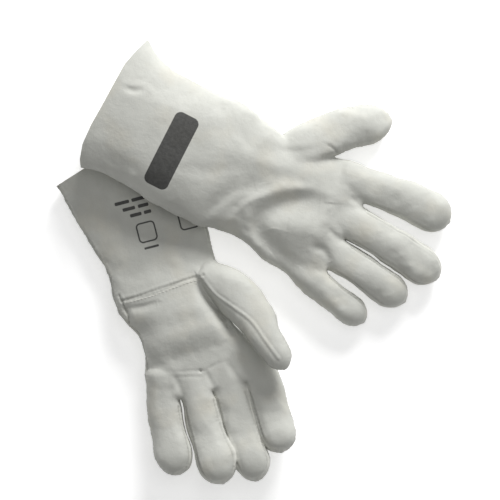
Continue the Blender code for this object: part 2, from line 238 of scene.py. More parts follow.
LEFT = Shape(
    name="left",
    back=-1,
    middle=-1.5,
    cuff=((-118, -79.1), (-157.4, 51.9)),
    curve=((-79, 0), (-14, 1.5), (52, 0)),
    wide=(
        Wide((-133, -85), (-176, 52), 14, 13, 13.5, 1.05),
        Wide((-118, -79), (-157, 51.5), 14, 13, 13.5, 1.02),
        Wide((-87, -70.5), (-112, 52.5), 13.5, 12.5, 13, 0.98),
        Wide((-57, -61.5), (-64, 52.5), 14, 12.5, 13.5, 0.96),
        Wide((-26, -52.5), (-28, 52.5), 15, 14, 14.5, 0.94),
        Wide((-3, -52.5), (-3, 52), 16.5, 16, 16, 0.92),
        Wide((13, -51), (13, 47.5), 17.5, 17, 17, 0.9),
        Wide((25, -45), (25, 47), 18, 17.5, 17.5, 0.88),
        Wide((36, -38.5), (36, 48), 18, 17.5, 17.5, 0.88),
        Wide((53, -36.8), (53, 55), 18.5, 18, 18, 0.86),
        Wide((70, -38.8), (70, 65), 17.5, 16, 17.5, 0.95),
        Wide((88, -43.3), (88, 73), 16.5, 15, 16.5, 0.95),
        Wide((104, -47), (105, 80), 16.5, 14.5, 15, 0.94),
    ),
    fingers={
        "thumb": Finger(
            (
                Round(-4, 36, 18, 16, 15),
                Round(20, 59, 21, 20, 17),
                Round(46, 73, 30, 19, 16),
                Round(70, 79.5, 42, 15.3, 12),
                Round(86, 85, 46, 13, 11.5),
            ),
            (104.5, 90.5, 47.5),
            "",
            (62, 60),
            26,
        ),
        "index": Finger(
            (
                Round(78, 58, 14, 15, 11),
                Round(106, 65.5, 15.5, 17.5, 14),
                Round(140, 67, 20, 17.5, 15),
                Round(162, 67.5, 27, 17, 14.5),
            ),
            (179, 66, 34),
            "b",
            (110.5, 65),
            1,
        ),
        "middle": Finger(
            (
                Round(78, 32, 17, 16, 15),
                Round(106, 33.5, 17, 15.8, 15),
                Round(142, 34.5, 19, 16.8, 15),
                Round(178, 37.5, 29, 17.3, 14.5),
            ),
            (200, 38, 35),
            "ab",
            (110.5, 33),
            1,
        ),
        "ring": Finger(
            (
                Round(78, 2, 17, 15, 15),
                Round(106, 2.5, 18, 16, 15),
                Round(142, 2.5, 22, 17.2, 15),
                Round(172, 5, 33, 19.3, 14.5),
            ),
            (194, 6, 38),
            "ab",
            (110, 2.5),
            0,
        ),
        "little": Finger(
            (
                Round(76, -26, 17, 14, 14),
                Round(104, -30.5, 17, 16, 14),
                Round(132, -32.5, 19, 17, 14.5),
                Round(156, -33, 25, 17.6, 14),
            ),
            (176, -31.5, 31),
            "a",
            (108, -31),
            -3,
        ),
    },
    folds=(
        # the pinch under the wrist seam, and the lip of the back's leather beside it
        Fold(((9, -47), (11, -38), (12.5, -24), (12, -12)), 1.8, 2.4, 4.5),
        Fold(((24, -43), (17, -41), (6, -44)), 1.6, 2.0, 2.5),
        # the gap between the thumb and the palm, and the palm's hollow that it runs into
        Fold(((2, 32), (12, 34.5), (24, 38.5), (36, 43), (52, 50)), 9.0, 2.6, 7.0),
        Fold(((44, 46), (56, 45), (60, 34), (60, 18), (61, 0), (61, -14)), 1.8, 11, 10),
        Fold(((46, 47), (56, 48), (62, 48)), 3.0, 6, 6),
        # creases at the roots of the fingers
        Fold(((71, -40), (76, -26), (79, -14)), 0.5, 2.2, 3.0),
        Fold(((80, -12), (82, -2), (84, 11)), 0.5, 1.6, 2.6),
        Fold(((88, 14), (85, 20), (83, 27), (82, 33)), 0.5, 1.6, 2.4),
        Fold(((84, -16), (88, 0), (91, 12)), 0.5, 1.6, 2.0),
        Fold(((85.4, 10.3), (85.4, 12.3)), 2.6, 1.5, 1.5),
        Fold(((84, -14), (95, -12), (105, -11)), 1.2, 3.0, 3.0),
        Fold(((88, 16), (97, 18), (104, 19.5)), 1.2, 3.0, 3.0),
        Fold(((84, 38), (96, 42), (108, 46)), 1.2, 3.0, 3.0),
        Fold(((50, -41), (62, -42), (73, -45)), 1.6, 4, 4),
        Fold(((-60, -20), (-45, 5), (-42, 35)), 0.9, 8, 8),
        Fold(((-100, -40), (-70, -30), (-50, -28)), 0.8, 7, 7),
        Fold(((20, -20), (30, 5), (28, 25)), -0.6, 14, 14),
        Fold(((128, -48), (132, -32), (130, -18)), 0.35, 4.0, 4.0),
        Fold(((140, -14), (146, 2), (143, 18)), 0.35, 4.0, 4.0),
        Fold(((150, 20), (154, 34), (151, 48)), 0.35, 4.0, 4.0),
        Fold(((136, 52), (140, 66), (138, 82)), 0.35, 4.0, 4.0),
        Fold(((5, -40), (8, 0), (6, 40)), 2.0, 5, 5, False),
    ),
    seams=(
        # the wrist's double seam
        Seam(((2, -45), (2, -30), (0.5, -10), (-1, 10), (-2, 25), (-2, 37)), 0.8, 0.9, 0.12),
        Seam(((3, -44), (3.4, -25), (2.8, -8), (0, 10)), 0.5, 0.8, 0.05),
        # the lip beside the wrist, and the raised seam along the thumb
        Seam(((-3, -45.5), (8, -43.5), (17, -42.5), (24, -42.5)), 0.9, 0.9, 0.2),
        Seam(
            ((-2, 34), (8, 38), (19, 43.5), (34, 56), (51, 69.5), (71, 77.5), (92, 86)), -0.6, 1.3, 0.08
        ),
    ),
    edge_angle=16,
)


# ---------------------------------------------------------------- laying out and joining tubes


def spline(rows, steps):
    """Rows of numbers at the given steps on a Catmull-Rom curve through the given rows."""
    keys = np.array([rows[0], *rows, rows[-1]], dtype=float)
    steps = np.asarray(steps, dtype=float)
    first = np.minimum(steps.astype(int), len(rows) - 2)
    t = (steps - first)[:, None]
    before, start, end, after = (keys[first + i] for i in range(4))
    cubic = (3 * start - before - 3 * end + after) * t**3
    square = (2 * before - 5 * start + 4 * end - after) * t**2
    return 0.5 * (cubic + square + (end - before) * t) + start


def curve_through(points, spacing):
    """Points at an even spacing along a smooth curve through the given points."""
    fine = spline(points, np.linspace(0, len(points) - 1, 40 * len(points)))
    length = np.concatenate([[0], np.cumsum(np.linalg.norm(np.diff(fine, axis=0), axis=1))])
    count = max(int(length[-1] / spacing), 2) + 1
    even = np.linspace(0, length[-1], count)
    return np.column_stack([np.interp(even, length, column) for column in fine.T])


def superellipse(angles, full):
    across = np.sign(np.cos(angles)) * np.abs(np.cos(angles)) ** full
    over = np.sign(np.sin(angles)) * np.abs(np.sin(angles)) ** full
    return across, over


def wide_ring(row, inset, angles):
    low_u, low_v, high_u, high_v, height, top, bottom, full = row
    across, over = superellipse(angles, full)
    low, high = np.array((low_u, low_v)), np.array((high_u, high_v))
    half = (high - low) / 2
    half *= 1 - inset / np.hypot(*half)
    plan = (low + high) / 2 + across[:, None] * half
    reach = np.where(over > 0, top - inset, bottom - inset)
    return np.column_stack([plan, height + over * reach])


def wide_rows(shape, count):
    rows = [(*s.low, *s.high, s.height, s.top, s.bottom, s.full) for s in shape.wide]
    return spline(rows, np.linspace(0, len(rows) - 1, count))


def finger_rings(finger, inset, angles):
    """Rings of points along a finger, with a round tip."""
    rows = [tuple(s) for s in finger.sections]
    last = rows[-1]
    tip = np.array(finger.tip, dtype=float)
    count = int(np.hypot(tip[0] - rows[0][0], tip[1] - rows[0][1]) / RING_STEP)
    shaft = spline(rows, np.linspace(0, len(rows) - 1, count))
    end = np.array(last[:3], dtype=float)
    direction = (tip - end) / np.linalg.norm(tip - end)
    cap = np.linalg.norm(tip - end) - inset
    middles = [row[:3] for row in shaft]
    sizes = [row[3:] for row in shaft]
    for step in range(1, TIP_RINGS + 1):
        angle = pi / 2 * step / TIP_RINGS
        middles.append(end + direction * cap * sin(angle))
        sizes.append(np.array(last[3:]) * max(cos(angle), 0.02))
    middles = np.array(middles)
    forward = np.gradient(middles, axis=0)
    forward /= np.linalg.norm(forward, axis=1)[:, None]
    rings = []
    for i, (middle, size) in enumerate(zip(middles, sizes)):
        shrink = min(1, (len(middles) - 1 - i) / 2)
        width, thick = np.maximum(np.array(size) - inset * shrink, 0.3)
        side = np.array((-forward[i][1], forward[i][0], 0))
        side /= np.linalg.norm(side)
        up = np.cross(forward[i], side)
        across, over = superellipse(angles, FINGER_FULL)
        rings.append(middle + across[:, None] * width * side + over[:, None] * thick * up)
    return rings


def tube_mesh(rings):
    """Points and faces of a closed tube through rings of points."""
    count = len(rings[0])
    points = [tuple(p) for ring in rings for p in ring]
    faces = []
    for r in range(len(rings) - 1):
        for i in range(count):
            j = (i + 1) % count
            faces.append((r * count + i, r * count + j, (r + 1) * count + j, (r + 1) * count + i))
    faces.append(tuple(reversed(range(count))))
    faces.append(tuple((len(rings) - 1) * count + i for i in range(count)))
    return points, faces


def joined_tubes(shape):
    """One mesh that holds a glove's hand and finger tubes, overlapping where they join."""
    angles = np.linspace(0, 2 * pi, RING_POINTS, endpoint=False)
    tubes = [[wide_ring(row, INSET, angles) for row in wide_rows(shape, HAND_RINGS)]]
    tubes += [finger_rings(finger, INSET, angles) for finger in shape.fingers.values()]
    points, faces = [], []
    for rings in tubes:
        more, cells = tube_mesh(rings)
        faces += [tuple(i + len(points) for i in cell) for cell in cells]
        points += more
    mesh = bpy.data.meshes.new(f"{shape.name}_tubes")
    mesh.from_pydata(points, [], faces)
    return mesh


def evaluated(mesh, *modifiers):
    """A mesh as these modifiers leave it. Each is a type and its settings."""
    thing = bpy.data.objects.new("work", mesh)
    bpy.context.collection.objects.link(thing)
    for kind, settings in modifiers:
        modifier = thing.modifiers.new(kind, kind)
        for key, value in settings.items():
            setattr(modifier, key, value)
    graph = bpy.context.evaluated_depsgraph_get()
    made = bpy.data.meshes.new_from_object(thing.evaluated_get(graph))
    bpy.data.objects.remove(thing)
    return made


def read_points(mesh):
    points = np.empty(len(mesh.vertices) * 3)
    mesh.vertices.foreach_get("co", points)
    return points.reshape(-1, 3)


def read_normals(mesh):
    normals = np.empty(len(mesh.vertices) * 3)
    mesh.vertex_normals.foreach_get("vector", normals)
    return normals.reshape(-1, 3)


def write_points(mesh, points):
    mesh.vertices.foreach_set("co", points.ravel())
    mesh.update()


def joined_skin(shape):
    """The glove's skin in its plan, in millimetres, joined, smoothed and swollen to full size."""
    rough = evaluated(
        joined_tubes(shape),
        ("REMESH", {"mode": "VOXEL", "voxel_size": VOXEL}),
        ("SMOOTH", {"factor": 0.5, "iterations": 10}),
    )
    write_points(rough, read_points(rough) + read_normals(rough) * INSET)
    relaxed = evaluated(rough, ("SMOOTH", {"factor": 0.5, "iterations": 2}))
    points = read_points(relaxed)
    pinned = np.vstack([seam.points for seam in seams_of(shape)])
    start, drift = simulated_drift(relaxed, pinned)
    moved = spread_drift(start, drift, points)
    write_points(relaxed, points + moved)
    relaxed = evaluated(relaxed, ("SMOOTH", {"factor": 0.5, "iterations": 3}))
    return evaluated(relaxed, ("SUBSURF", {"levels": 1, "render_levels": 1}))


def simulated_drift(mesh, pinned):
    """How far cloth that is a little too large for the glove's shape moves, and from which points.

    The points near the pinned ones stay. The leather between them buckles, as worn leather does.
    """
    coarse = evaluated(mesh, ("DECIMATE", {"ratio": CLOTH_SHARE}))
    start = read_points(coarse)
    write_points(coarse, start * MM)
    thing = link("cloth", coarse)
    held = thing.vertex_groups.new(name="held")
    near = KDTree(len(pinned))
    for index, point in enumerate(pinned):
        near.insert(point, index)
    near.balance()
    for index, point in enumerate(start):
        away = near.find(point)[2]
        held.add([index], float(np.clip(1.25 - away / CLOTH_HELD, 0, 1)), "REPLACE")
    cloth = thing.modifiers.new("cloth", "CLOTH")
    cloth.settings.quality = 6
    cloth.settings.mass = 0.3
    cloth.settings.tension_stiffness = 25
    cloth.settings.compression_stiffness = 25
    cloth.settings.shear_stiffness = 15
    cloth.settings.bending_stiffness = 1.2
    cloth.settings.shrink_min = -CLOTH_GROWTH
    cloth.settings.vertex_group_mass = "held"
    cloth.settings.effector_weights.gravity = 0
    cloth.collision_settings.use_collision = False
    cloth.collision_settings.use_self_collision = False
    for step in range(1, CLOTH_FRAMES + 1):
        bpy.context.scene.frame_set(step)
    graph = bpy.context.evaluated_depsgraph_get()
    result = bpy.data.meshes.new_from_object(thing.evaluated_get(graph))
    drift = read_points(result) / MM - start
    bpy.data.objects.remove(thing)
    bpy.context.scene.frame_set(1)
    length = np.linalg.norm(drift, axis=1)
    drift *= (np.minimum(length, CLOTH_LIMIT) / np.maximum(length, 1e-6))[:, None]
    return start, drift


def spread_drift(start, drift, points):
    """The drift of the coarse cloth's points, spread smoothly over the fine skin's points."""
    tree = KDTree(len(start))
    for index, point in enumerate(start):
        tree.insert(point, index)
    tree.balance()
    moved = np.zeros_like(points)
    for row, point in enumerate(points.tolist()):
        found = tree.find_n(point, 7)
        weights = [1 / (away + 2) ** 2 for _, _, away in found]
        total = sum(weights)
        moved[row] = sum(drift[index] * (w / total) for (_, index, _), w in zip(found, weights))
    return moved


def open_cuff(shape, mesh):
    """Cut the closed end off the gauntlet, and bow the new edge outwards."""
    low, high = (Vector((*corner, 0)) for corner in shape.cuff)
    outward = (high - low).normalized().cross(Vector((0, 0, 1)))
    if outward.x > 0:
        outward.negate()
    work = bmesh.new()
    work.from_mesh(mesh)
    geometry = work.verts[:] + work.edges[:] + work.faces[:]
    bmesh.ops.bisect_plane(work, geom=geometry, plane_co=low, plane_no=outward, clear_outer=True)
    work.to_mesh(mesh)
    work.free()
    points = read_points(mesh)
    inside = -((points - np.array(low)) @ np.array(outward))
    across, bow = np.array(shape.curve).T
    near = np.clip(1 - inside / 45, 0, 1) ** 2
    points[:, 0] -= np.interp(points[:, 1], across, bow) * near
    write_points(mesh, points)


# ---------------------------------------------------------------- folds, seams and wrinkles


def smoothstep(low, high, x):
    t = np.clip((x - low) / (high - low), 0, 1)
    return t * t * (3 - 2 * t)


def fold_lift(fold, plan):
    """How far a fold moves each point up. A point's place is told by its nearest path point."""
    path = curve_through(fold.points, 1.5)
    ahead = np.gradient(path, axis=0)
    ahead /= np.linalg.norm(ahead, axis=1)[:, None]
    reach = 3 * max(fold.left, fold.right)
    lift = np.zeros(len(plan))
    low, high = path.min(axis=0) - reach, path.max(axis=0) + reach
    inside = np.all((plan > low) & (plan < high), axis=1)
    near = plan[inside]
    if not len(near):
        return lift
    gap = near[:, None, :] - path[None, :, :]
    distance = np.einsum("ijk,ijk->ij", gap, gap)
    nearest = distance.argmin(axis=1)
    rows = np.arange(len(near))
    offset = gap[rows, nearest]
    on_left = ahead[nearest, 0] * offset[:, 1] - ahead[nearest, 1] * offset[:, 0] > 0
    away = np.sqrt(distance[rows, nearest])
    width = np.where(on_left, fold.left, fold.right)
    along = nearest / (len(path) - 1)
    fade = 0.35 + 0.65 * np.sin(pi * along) ** 0.7
    lift[inside] = -fold.depth * np.exp(-((away / width) ** 2)) * fade
    return lift


def apply_folds(shape, points, normals):
    lift = np.zeros(len(points))
    upward = smoothstep(0.05, 0.75, normals[:, 2])
    downward = smoothstep(0.05, 0.75, -normals[:, 2])
    for fold in shape.folds:
        facing = upward if fold.top else -downward
        lift += fold_lift(fold, points[:, :2]) * facing
    moved = points.copy()
    moved[:, 2] += lift
    return moved


def wave(points, scale, seed):
    """Smooth noise at each point, between about -1 and 1, with lumps of the given size."""
    shift = Vector((seed * 17.3, seed * 5.1, seed * 9.7))
    return np.array([noise.noise(Vector(p) / scale + shift) for p in points])


def ring_line(shape, angle, first, last):
    """A line along the hand's tube at one angle of its section."""
    rows = wide_rows(shape, LINE_RINGS)
    line = np.array([wide_ring(row, 0, np.array([angle]))[0] for row in rows])
    return line[(line[:, 0] > first) & (line[:, 0] < last)]


def finger_line(finger, angle, start=-6):
    """A line along a finger's side, from a little way before or after its split from the hand."""
    line = np.array([ring[0] for ring in finger_rings(finger, 0, np.array([angle]))])
    split = np.array(finger.split)
    facing = np.array((cos(radians(finger.turn)), sin(radians(finger.turn))))
    return line[(line[:, :2] - split) @ facing > start]


def seams_of(shape):
    """Every sewn line of a glove, as rows of points near the skin, with its strength."""
    tilt = radians(shape.edge_angle)
    seams = [
        Seam(ring_line(shape, tilt, -170, 12), 1.0, 1.0, 0.25),
        Seam(ring_line(shape, pi - tilt, -170, 84), 1.0, 1.0, 0.25),
    ]
    fingers = shape.fingers
    seams += [Seam(finger_line(fingers["index"], 0), 0.9, 1.0, 0.3)]
    seams += [Seam(finger_line(fingers["little"], pi), 0.9, 1.0, 0.3)]
    seams += [Seam(finger_line(fingers["thumb"], angle), 0.9, 1.0, 0.3) for angle in (0.15, pi - 0.15)]
    for finger in fingers.values():
        if "a" in finger.strips:
            sides = (STRIP_ANGLE, -STRIP_ANGLE)
            seams += [Seam(finger_line(finger, angle, 4), 0.9, 1.0, 0.15) for angle in sides]
        if "b" in finger.strips:
            sides = (pi - STRIP_ANGLE, pi + STRIP_ANGLE)
            seams += [Seam(finger_line(finger, angle, 4), 0.9, 1.0, 0.15) for angle in sides]
    return seams


def skin_under(tree, point):
    """The place on the skin straight under a point of plan, or None."""
    return tree.ray_cast(Vector((*point, ABOVE_ALL)), DOWN)[0]


def dropped(points, tree):
    """Points of plan put on the skin, from above."""
    found = [skin_under(tree, point) for point in points]
    return np.array([p for p in found if p is not None])


def seam_effect(seam, points, seed):
    """How far a seam sinks each point, and how much painted shade it lays on it along its groove."""
    path = curve_through(seam.points, 1.0)
    sink, dark = np.zeros(len(points)), np.zeros(len(points))
    low, high = path.min(axis=0) - SEAM_REACH, path.max(axis=0) + SEAM_REACH
    index = np.flatnonzero(np.all((points > low) & (points < high), axis=1))
    for chunk in np.array_split(index, max(1, len(index) // 20000)):
        gap = points[chunk][:, None, :] - path[None, :, :]
        distance = np.einsum("ijk,ijk->ij", gap, gap)
        nearest = distance.argmin(axis=1)
        away = np.sqrt(distance[np.arange(len(chunk)), nearest])
        groove = np.exp(-((away / seam.width) ** 2))
        roll = np.exp(-(((away - 2.6) / 1.3) ** 2)) * 0.35
        drift = nearest + 3 * np.sin(nearest * 0.37 + seed)
        ripple = np.sin(drift * 2 * pi / 6.5) * np.exp(-((away / 4.5) ** 2)) * seam.pucker
        sink[chunk] = seam.depth * groove - roll * seam.depth + ripple
        dark[chunk] = np.exp(-((away / (seam.width * 0.9)) ** 2))
    return sink, dark


# ---------------------------------------------------------------- putting a plan on the model


def plan_frame(shape):
    """The plan's origin and its two directions, from the record's wrist joint."""
    joint = JOINTS[f"{shape.name}_wrist_fold"]
    across = Vector(joint["axis"]) * shape.back
    along = Vector((across.y, -across.x, 0))
    origin = Vector(joint["pos_m"]) - across * (shape.middle * MM)
    return Vector((origin.x, origin.y, 0)), along, across


def to_model(shape, points):
    origin, along, across = plan_frame(shape)
    basis = np.array((along, across, (0, 0, 1)))
    return np.array(origin) + (np.asarray(points) * MM) @ basis


def link(name, mesh, *materials):
    thing = bpy.data.objects.new(name, mesh)
    bpy.context.collection.objects.link(thing)
    for material in materials:
        thing.data.materials.append(material)
    return thing


def read_faces(mesh):
    """Each face's corner points, as a list of tuples."""
    corners = np.empty(len(mesh.loops), dtype=np.int32)
    starts = np.empty(len(mesh.polygons), dtype=np.int32)
    mesh.loops.foreach_get("vertex_index", corners)
    mesh.polygons.foreach_get("loop_start", starts)
    corners = corners.tolist()
    ends = [*starts[1:].tolist(), len(corners)]
    return [tuple(corners[a:b]) for a, b in zip(starts.tolist(), ends)]


def read_middles(mesh):
    middles = np.empty(len(mesh.polygons) * 3)
    mesh.polygons.foreach_get("center", middles)
    return middles.reshape(-1, 3)


def boundary_edges(faces):
    """Edges with a face on one side only, in the direction that their face runs."""
    seen = {}
    for face in faces:
        for a, b in zip(face, face[1:] + face[:1]):
            key = (a, b) if a < b else (b, a)
            seen[key] = None if key in seen else (a, b)
    return [edge for edge in seen.values() if edge]


def nearer_thumb(shape, thumb, middles):
    """Which faces lie nearer to the surface of the thumb than to that of the hand under it."""
    fine = curve_through([tuple(s) for s in thumb.sections], 2)
    gap = middles[:, None, :] - fine[None, :, :3]
    index = np.einsum("ijk,ijk->ij", gap, gap).argmin(axis=1)
    offset = gap[np.arange(len(middles)), index]
    width, thick = fine[index, 3], fine[index, 4]
    from_thumb = np.hypot(np.hypot(offset[:, 0], offset[:, 1]) / width, offset[:, 2] / thick)
    rows = wide_rows(shape, LINE_RINGS)
    columns = (rows[:, i] for i in (1, 3, 4, 5, 6))
    low, high, height, top, bottom = (np.interp(middles[:, 0], rows[:, 0], c) for c in columns)
    above = middles[:, 2] - height
    reach = np.where(above > 0, top, bottom)
    from_hand = np.hypot((middles[:, 1] - (low + high) / 2) / ((high - low) / 2), above / reach)
    return np.abs(from_thumb - 1) * thick < np.abs(from_hand - 1) * reach


def owners(shape, middles):
    """Which finger each face belongs to, or the hand, from its middle in plan."""
    owner = np.full(len(middles), "main", dtype=object)
    nearest = np.full(len(middles), np.inf)
    for key, finger in shape.fingers.items():
        ridge = np.array([*(s[:3] for s in finger.sections), finger.tip], dtype=float)
        ridge = curve_through(ridge, 4)
        gap = middles[:, None, :] - ridge[None, :, :]
        away = np.sqrt(np.einsum("ijk,ijk->ij", gap, gap).min(axis=1))
        facing = np.array((cos(radians(finger.turn)), sin(radians(finger.turn))))
        past = (middles[:, :2] - np.array(finger.split)) @ facing > 0
        if key == "thumb":
            outer = np.array((-facing[1], facing[0]))
            past &= (middles[:, :2] - np.array(finger.split)) @ outer > THUMB_SIDE
            past &= middles[:, 0] < THUMB_END
            if shape.back < 0:
                past &= nearer_thumb(shape, finger, middles)
        chosen = past & (away < nearest) & (away < FINGER_REACH)
        owner[chosen] = key
        nearest[chosen] = away[chosen]
    return owner


def glove(shape, materials):
    mesh = joined_skin(shape)
    open_cuff(shape, mesh)
    points, normals = read_points(mesh), read_normals(mesh)
    points = apply_folds(shape, points, normals)
    write_points(mesh, points)
    normals = read_normals(mesh)

    faces = read_faces(mesh)
    tree = BVHTree.FromPolygons(points.tolist(), faces)
    seams = seams_of(shape)
    for seam in shape.seams:
        seams.append(seam._replace(points=dropped(curve_through(seam.points, DROP_STEP), tree)))
    pale = strip_share(shape, points)
    sink, dark = np.zeros(len(points)), np.zeros(len(points))
    for seed, seam in enumerate(seams):
        more, more_painted_shade = seam_effect(seam, points, seed)
        sink += more
        # each seam lays a line of painted shade along its groove, weaker along a raised seam
        dark = np.maximum(dark, more_painted_shade * (RAISED_SEAM_SHADE if seam.depth < 0 else 1))
    soft = sum(wave(points, scale, seed) * height for scale, seed, height in WAVES)
    points = points + normals * (soft - sink)[:, None]
    points[:, 2] = REST_ROUND * np.logaddexp(0, points[:, 2] / REST_ROUND)
    write_points(mesh, points)
    tree = BVHTree.FromPolygons(points.tolist(), faces)
    normals = read_normals(mesh)

    owner = owners(shape, read_middles(mesh))
    rest = to_model(shape, points)
    placed_normals = to_model(shape, normals * 1000) - np.array(plan_frame(shape)[0])
    pieces = {}
    for key in ("main", *shape.fingers):
        chosen = [faces[i] for i in np.flatnonzero(owner == key)]
        used = sorted({i for face in chosen for i in face})
        renumber = {old: new for new, old in enumerate(used)}
        cells = [tuple(renumber[i] for i in face) for face in chosen]
        own, own_normals, own_plan = rest[used], placed_normals[used], points[used]
        own_painted_shade = dark[used]
        edge = np.zeros(len(used))
        if key == "main":
            own, own_normals, own_plan, own_painted_shade, edge, cells = with_inside(
                own, own_normals, own_plan, own_painted_shade, cells
            )
        piece = bpy.data.meshes.new(f"{shape.name}_{key}_skin")
        piece.from_pydata(own.tolist(), [], cells)
        piece.shade_smooth()
        add_attribute(piece, "dark", "FLOAT", own_painted_shade)
        add_attribute(piece, "pale", "FLOAT", np.zeros(len(own)) if key == "main" else pale[used])
        add_attribute(piece, "raw", "FLOAT", edge)
        add_attribute(piece, "plan", "FLOAT_VECTOR", own_plan * MM)
        add_attribute(piece, "top", "FLOAT", smoothstep(-0.1, 0.3, own_normals[:, 2]))
        piece.normals_split_custom_set_from_vertices(own_normals.tolist())
        thing = link(piece.name, piece, materials[shape.name if key == "main" else "plain"])
        pieces[key] = thing
    return pieces, tree


def stitches(shape, tree, path, material):
    """A row of short threads along a path of plan, lying on the skin."""
    line = curve_through(path, STITCH_PITCH)
    angles = np.linspace(0, 2 * pi, STITCH_SIDES, endpoint=False)
    points, faces = [], []
    for a, b in zip(line[:-1], line[1:]):
        spots = [skin_under(tree, a + (b - a) * share) for share in STITCH_SHARES]
        if None in spots:
            continue
        along = (spots[-1] - spots[0]).normalized()
        side = along.cross(Vector((0, 0, 1))).normalized()
        up = side.cross(along)
        rings = []
        for spot, size, lift in zip(spots, STITCH_SIZES, STITCH_LIFTS):
            middle = spot + up * lift
            rings.append([middle + (side * cos(t) + up * sin(t)) * size for t in angles])
        more, cells = tube_mesh(rings)
        faces += [tuple(i + len(points) for i in cell) for cell in cells]
        points += more
    mesh = bpy.data.meshes.new(f"{shape.name}_wrist_stitches")
    mesh.from_pydata(to_model(shape, points).tolist(), [], faces)
    mesh.shade_smooth()
    return link(mesh.name, mesh, material)


def strip_share(shape, points):
    """How much each point lies on a strip between two fingers, from 0 to 1."""
    share = np.zeros(len(points))
    for finger in shape.fingers.values():
        sides = [angle for letter, angle in (("a", 0), ("b", pi)) if letter in finger.strips]
        for angle in sides:
            path = curve_through(finger_line(finger, angle, 4), 2.0)
            low, high = path.min(axis=0) - STRIP_HALF, path.max(axis=0) + STRIP_HALF
            near = np.flatnonzero(np.all((points > low) & (points < high), axis=1))
            gap = points[near][:, None, :] - path[None, :, :]
            away = np.sqrt(np.einsum("ijk,ijk->ij", gap, gap).min(axis=1))
            share[near] = np.maximum(share[near], 1 - smoothstep(STRIP_HALF - 0.7, STRIP_HALF, away))
    return share


def with_inside(own, own_normals, own_plan, own_painted_shade, cells):
    """Add the leather's inner face from the cuff to the wrist, and the cut edge at the cuff."""
    reach = own_plan[:, 0] < INNER_END
    inner_cells = [cell for cell in cells if all(reach[i] for i in cell)]
    used = sorted({i for cell in inner_cells for i in cell})
    count = len(own)
    renumber = {old: new + count for new, old in enumerate(used)}
    flipped = [tuple(renumber[i] for i in reversed(cell)) for cell in inner_cells]
    near_cuff = own_plan[:, 0] < CUFF_END
    rim = []
    for a, b in boundary_edges(cells):
        if near_cuff[a] and near_cuff[b]:
            rim.append((b, a, renumber[a], renumber[b]))
    inside = own[used] - own_normals[used] * LEATHER * MM
    points = np.vstack([own, inside])
    normals = np.vstack([own_normals, -own_normals[used]])
    plan = np.vstack([own_plan, own_plan[used]])
    # the inner face takes a third of the painted shade along the seams
    dark = np.concatenate([own_painted_shade, own_painted_shade[used] * 0.3])
    edge = np.zeros(len(points))
    edge[[i for quad in rim for i in quad]] = 1
    edge[count:] = np.maximum(edge[count:], 0.5)
    return points, normals, plan, dark, edge, cells + flipped + rim


def add_attribute(mesh, name, kind, values):
    attribute = mesh.attributes.new(name, kind, "POINT")
    field = "vector" if kind == "FLOAT_VECTOR" else "value"
    attribute.data.foreach_set(field, np.asarray(values, dtype=np.float32).ravel())


# ---------------------------------------------------------------- leather and other materials


class Nodes:
    """A short way to build a material's node tree."""

    def __init__(self, name):
        self.material = bpy.data.materials.new(name)
        self.material.use_nodes = True
        self.tree = self.material.node_tree
        self.shader = self.tree.nodes["Principled BSDF"]

    def put(self, socket, value):
        if isinstance(value, bpy.types.NodeSocket):
            self.tree.links.new(value, socket)
        elif value is not None:
            socket.default_value = value

    def node(self, kind, inputs=(), **settings):
        made = self.tree.nodes.new(kind)
        for key, value in settings.items():
            setattr(made, key, value)
        for index, value in dict(inputs).items():
            self.put(made.inputs[index], value)
        return made

    def math(self, operation, a, b=None, c=None, clamp=False):
        inputs = {i: v for i, v in enumerate((a, b, c)) if v is not None}
        return self.node("ShaderNodeMath", inputs, operation=operation, use_clamp=clamp).outputs[0]

    def vector(self, operation, a, b=None):
        inputs = {i: v for i, v in enumerate((a, b)) if v is not None}
        made = self.node("ShaderNodeVectorMath", inputs, operation=operation)
        return made.outputs[1 if operation in ("LENGTH", "DOT_PRODUCT") else 0]

    def attribute(self, name, output):
        return self.node("ShaderNodeAttribute", attribute_name=name).outputs[output]

    def noise(self, vector, scale, detail=3, rough=0.5):
        inputs = {"Vector": vector, "Scale": scale, "Detail": detail, "Roughness": rough}
        return self.node("ShaderNodeTexNoise", inputs).outputs["Fac"]

    def cells(self, vector, scale):
        inputs = {"Vector": vector, "Scale": scale}
        return self.node("ShaderNodeTexVoronoi", inputs).outputs["Distance"]

    def ramp(self, value, low, high, start=0.0, end=1.0):
        inputs = {"Value": value, "From Min": low, "From Max": high, "To Min": start, "To Max": end}
        made = self.node("ShaderNodeMapRange", inputs, clamp=True)
        return made.outputs["Result"]

    def mix(self, amount, a, b, blend="MIX"):
        made = self.node("ShaderNodeMix", data_type="RGBA", blend_type=blend)
        self.put(made.inputs["Factor"], amount)
        self.put(made.inputs[6], a)
        self.put(made.inputs[7], b)
        return made.outputs[2]

    def bump(self, height, strength, distance, normal=None):
        inputs = {"Height": height, "Strength": strength, "Distance": distance}
        made = self.node("ShaderNodeBump", inputs)
        self.put(made.inputs["Normal"], normal)
        return made.outputs[0]

    def surface(self, **inputs):
        for name, value in inputs.items():
            self.put(self.shader.inputs[name.replace("_", " ")], value)
        return self.material


